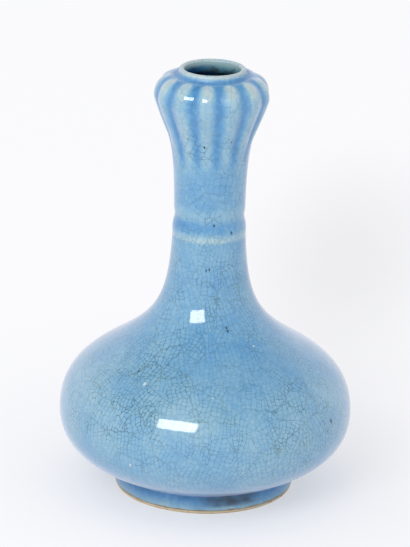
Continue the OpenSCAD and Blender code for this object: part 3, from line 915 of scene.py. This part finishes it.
def stained_and_shaded_inside_glaze():
    """Glaze in the dark of the neck, browned by water and dust, with painted shade: a deep wet blue-green.
    """
    material, tree, shader = new_material("stained_and_shaded_inside_glaze")
    place = add(tree, PLACE).outputs["Object"]
    parts = add(tree, PARTS, {0: place}).outputs
    down = add(tree, RANGE, {"Value": parts["Z"], "From Min": height * MM,
                             "From Max": (height - STAINED_AND_SHADED_DOWN) * MM})
    ramp = add(tree, RAMP, {0: down})
    set_ramp(ramp, inside_ramp)
    left = add(tree, RANGE, {"Value": parts["X"], "From Min": BLUE_FROM_X * MM,
                             "From Max": BLUE_FULL_X * MM, "To Max": BLUE_SIDE})
    deep = add(tree, RANGE, {"Value": down, "From Min": DEEP_FROM, "From Max": DEEP_FULL})
    pooled_and_shaded = add(tree, MATH, {0: left, 1: deep}, operation="MULTIPLY")
    # bluer and darker on the left: pooled glaze, and painted shade on the side away from the softbox
    colour = add(tree, MIX, {SHARE: pooled_and_shaded, FIRST: ramp, SECOND: "#0e5c9e"}, data_type="RGBA")
    cloud = add(tree, NOISE, {"Vector": place, "Scale": 1 / (BROWN_SIZE * MM), "Detail": 4.0})
    brown = add(tree, RANGE, {"Value": cloud, "From Min": BROWN_FROM, "From Max": BROWN_FULL,
                              "To Max": BROWN_MOST})
    browned = add(tree, MATH, {0: brown, 1: deep}, operation="MULTIPLY")
    colour = add(tree, MIX, {SHARE: browned, FIRST: colour, SECOND: "#4a4436"}, data_type="RGBA")
    fill(tree, shader, {"Base Color": colour, "Roughness": INSIDE_ROUGH, "IOR": GLAZE_IOR})
    return material


inner_glaze.data.materials.append(stained_and_shaded_inside_glaze())
print("inside glaze on", inner_glaze.name)

# %% [markdown]
# ## Clay
# The bare foot is dry fired clay, flashed from buff to brown by the flame. The clay under the glaze and the
# slip in the joints are never seen on a whole vase, but they are part of the model and get the same kind of
# finish in paler tones. One function makes all three, because only their colours and their grit differ.

# %% Fired clay
Browned = namedtuple("Browned", "start full strength colour")  # from one level to another

FLASH_SIZE, GRIT_SIZE = 9, 0.8  # clouds left by the flame, and grains of clay
COARSE_GRIT, FINE_GRIT, GRIT_STRENGTH = 0.15, 0.05, 0.5
CLAY_ROUGH = 0.85
foot_browned_and_shaded = [
    Browned(0.9, 0.2, 0.8, "#82644a"),  # worn and soiled by tables, and darkened by painted contact shadow
    Browned(1.5, 2.6, 0.85, "#7a5a3c"),  # burnt along the edge of the glaze
]


def fired_clay(name, stops, grit, browned=()):
    """Unglazed stoneware: dry and matt, clouded by the fire, with a grain that breaks up the light."""
    material, tree, shader = new_material(name)
    place = add(tree, PLACE).outputs["Object"]
    cloud = add(tree, NOISE, {"Vector": place, "Scale": 1 / (FLASH_SIZE * MM), "Detail": 4.0})
    colour = add(tree, RAMP, {0: cloud})
    set_ramp(colour, stops)
    level = add(tree, PARTS, {0: place}).outputs["Z"]
    for band in browned:
        share = add(tree, RANGE, {"Value": level, "From Min": band.start * MM, "From Max": band.full * MM,
                                  "To Max": band.strength})
        colour = add(tree, MIX, {SHARE: share, FIRST: colour, SECOND: band.colour}, data_type="RGBA")
    grains = add(tree, NOISE, {"Vector": place, "Scale": 1 / (GRIT_SIZE * MM), "Detail": 2.0})
    bump = add(tree, BUMP, {"Height": grains, "Strength": GRIT_STRENGTH, "Distance": grit * MM})
    fill(tree, shader, {"Base Color": colour, "Normal": bump, "Roughness": CLAY_ROUGH})
    return material


bare_ramp = [(0.3, "#b08e5c"), (0.4, "#dcc69a"), (0.6, "#eadab4"), (0.75, "#b8925c")]
clay_ramp = [(0.3, "#b09a78"), (0.5, "#c6b292"), (0.7, "#d6c7aa")]
slip_ramp = [(0.3, "#bda98a"), (0.5, "#d0c0a2"), (0.7, "#ddd0b6")]
bare_foot.data.materials.append(fired_clay("bare_stoneware", bare_ramp, COARSE_GRIT, foot_browned_and_shaded))
clay = fired_clay("stoneware_body", clay_ramp, COARSE_GRIT)
slip = fired_clay("fired_slip", slip_ramp, FINE_GRIT)
dressed = {"body_glaze", "head_glaze", "inner_glaze", "base_glaze", "foot_ring"}
for name in sorted(set(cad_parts) - dressed):
    node_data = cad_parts[name].data
    node_data.materials.clear()
    node_data.materials.append(slip if name.endswith("_slip") else clay)
    print(name, "is", node_data.materials[0].name)

# %% [markdown]
# ## Floor and light
# The vase stands on a white table that sweeps up out of sight, so the camera sees only the floor. The
# paper is shown as nearly plain white, with some of its real shade left near the vase. The long shadow of
# the neck would be lost in that white, so it is shaded into the paper, very faintly. One large softbox on
# the left gives the crisp highlights and most of the modelling. The world stands for the white room: it
# fills the shadows, and the glaze mirrors it as pale rims along both sides.

# %% Floor
FLOOR_HALF = 5000
PAPER_ROUGH = 0.9
GLOW_NEAR, GLOW_FAR = 0.48, 0.88  # how much of the seen floor is plain white, by the vase and away from it
NEAR, FAR = 60, 420
SHADE = Vector((40, 0, 0))  # the middle of the shade, on the side away from the softbox
PAINTED_SHADOW = Vector((66, 480, 0))  # the middle of a faint painted shadow, where the neck and head would cast theirs
PAINTED_SHADOW_SHAPE = Vector((1, 0.3, 1))  # the painted shadow is this much narrower than long
PAINTED_SHADOW_REACH, PAINTED_SHADOW_DARK = 125, 0.13


def white_paper():
    """Matt white paper that camera and glaze see as nearly plain white, with a faint painted shadow."""
    material, tree, shader = new_material("white_paper")
    fill(tree, shader, {"Base Color": "#f8f8fa", "Roughness": PAPER_ROUGH, "Specular IOR Level": 0.0})
    path = add(tree, "ShaderNodeLightPath").outputs
    seen = add(tree, MATH, {0: path["Is Camera Ray"], 1: path["Is Glossy Ray"]}, operation="MAXIMUM")
    place = add(tree, PLACE).outputs["Object"]
    away = add(tree, VECTOR, {0: place, 1: SHADE * MM}, operation="DISTANCE")
    white = add(tree, RANGE, {"Value": away, "From Min": NEAR * MM, "From Max": FAR * MM,
                              "To Min": GLOW_NEAR, "To Max": GLOW_FAR}, interpolation_type="SMOOTHSTEP")
    share = add(tree, MATH, {0: seen, 1: white}, operation="MULTIPLY")
    # a faint painted shadow of the neck and head dims the white behind the vase
    squeezed = add(tree, VECTOR, {0: place, 1: PAINTED_SHADOW_SHAPE}, operation="MULTIPLY")
    aside = add(tree, VECTOR, {0: squeezed, 1: PAINTED_SHADOW * PAINTED_SHADOW_SHAPE * MM}, operation="DISTANCE")
    painted_shadow = add(tree, RANGE, {"Value": aside, "From Max": PAINTED_SHADOW_REACH * MM, "To Min": 1 - PAINTED_SHADOW_DARK},
                 interpolation_type="SMOOTHSTEP")
    glow = add(tree, "ShaderNodeEmission", {"Color": "#fdfdff", "Strength": painted_shadow})
    blend = add(tree, "ShaderNodeMixShader", {0: share, 1: shader, 2: glow})
    fill(tree, tree.nodes["Material Output"], {"Surface": blend})
    return material


floor_mesh = bmesh.new()
bmesh.ops.create_grid(floor_mesh, x_segments=1, y_segments=1, size=FLOOR_HALF * MM)
floor_data = bpy.data.meshes.new("floor")
floor_mesh.to_mesh(floor_data)
floor_mesh.free()
floor_data.materials.append(white_paper())
floor_piece = placed("floor", floor_data)
print("floor of", floor_data.materials[0].name)

# %% Light
KEY_AZIMUTH, KEY_ELEVATION, KEY_AWAY = -18, 32.5, 1500
KEY_WIDTH, KEY_HEIGHT, KEY_POWER = 760, 470, 7
SHINE_NEARER, SHINE_POWER = 20, 9.2  # a second lamp in front of the key, which only highlights see


def softbox(name, away, power):
    """A large soft lamp on the left, turned to the middle of the vase."""
    lamp = bpy.data.lights.new(name, "AREA")
    lamp.shape = "RECTANGLE"
    lamp.size, lamp.size_y = KEY_WIDTH * MM, KEY_HEIGHT * MM
    lamp.energy = power
    holder = placed(name, lamp)
    stand = MIDDLE + away * towards(KEY_AZIMUTH, KEY_ELEVATION)
    holder.matrix_world = Matrix.Translation(stand * MM) @ facing(stand, MIDDLE)
    return holder


key = softbox("key", KEY_AWAY, KEY_POWER)
shine = softbox("shine", KEY_AWAY - SHINE_NEARER, SHINE_POWER)
shine.visible_diffuse = False
print("lamps:", key.name, "and", shine.name)

# %% White room
ROOM_LIGHT = 0.82
MIRROR_LOW, MIRROR_HIGH = 0.35, 0.9  # the mirrored room darkens between these rises, where 1 is overhead
MIRROR_WALL, MIRROR_TOP = 1.0, 0.15


def white_room():
    """A room that lights the vase evenly, and is mirrored with white walls and a dark ceiling."""
    room = bpy.data.worlds.new("white_room")
    room.use_nodes = True
    tree = room.node_tree
    tree.nodes.clear()
    mirror_ray = add(tree, "ShaderNodeLightPath").outputs["Is Glossy Ray"]
    direction = add(tree, PLACE).outputs["Generated"]
    rise = add(tree, PARTS, {0: direction}).outputs["Z"]
    mirrored = add(tree, RANGE, {"Value": rise, "From Min": MIRROR_LOW, "From Max": MIRROR_HIGH,
                                 "To Min": MIRROR_WALL, "To Max": MIRROR_TOP})
    strength = add(tree, MIX, {SHARE: mirror_ray, FIRST_NUMBER: ROOM_LIGHT, SECOND_NUMBER: mirrored},
                   data_type="FLOAT")
    background = add(tree, "ShaderNodeBackground", {"Color": "#fcfcff", "Strength": strength})
    add(tree, "ShaderNodeOutputWorld", {"Surface": background})
    return room


bpy.context.scene.world = white_room()
bpy.context.scene.view_settings.view_transform = "Standard"
print("world:", bpy.context.scene.world.name)
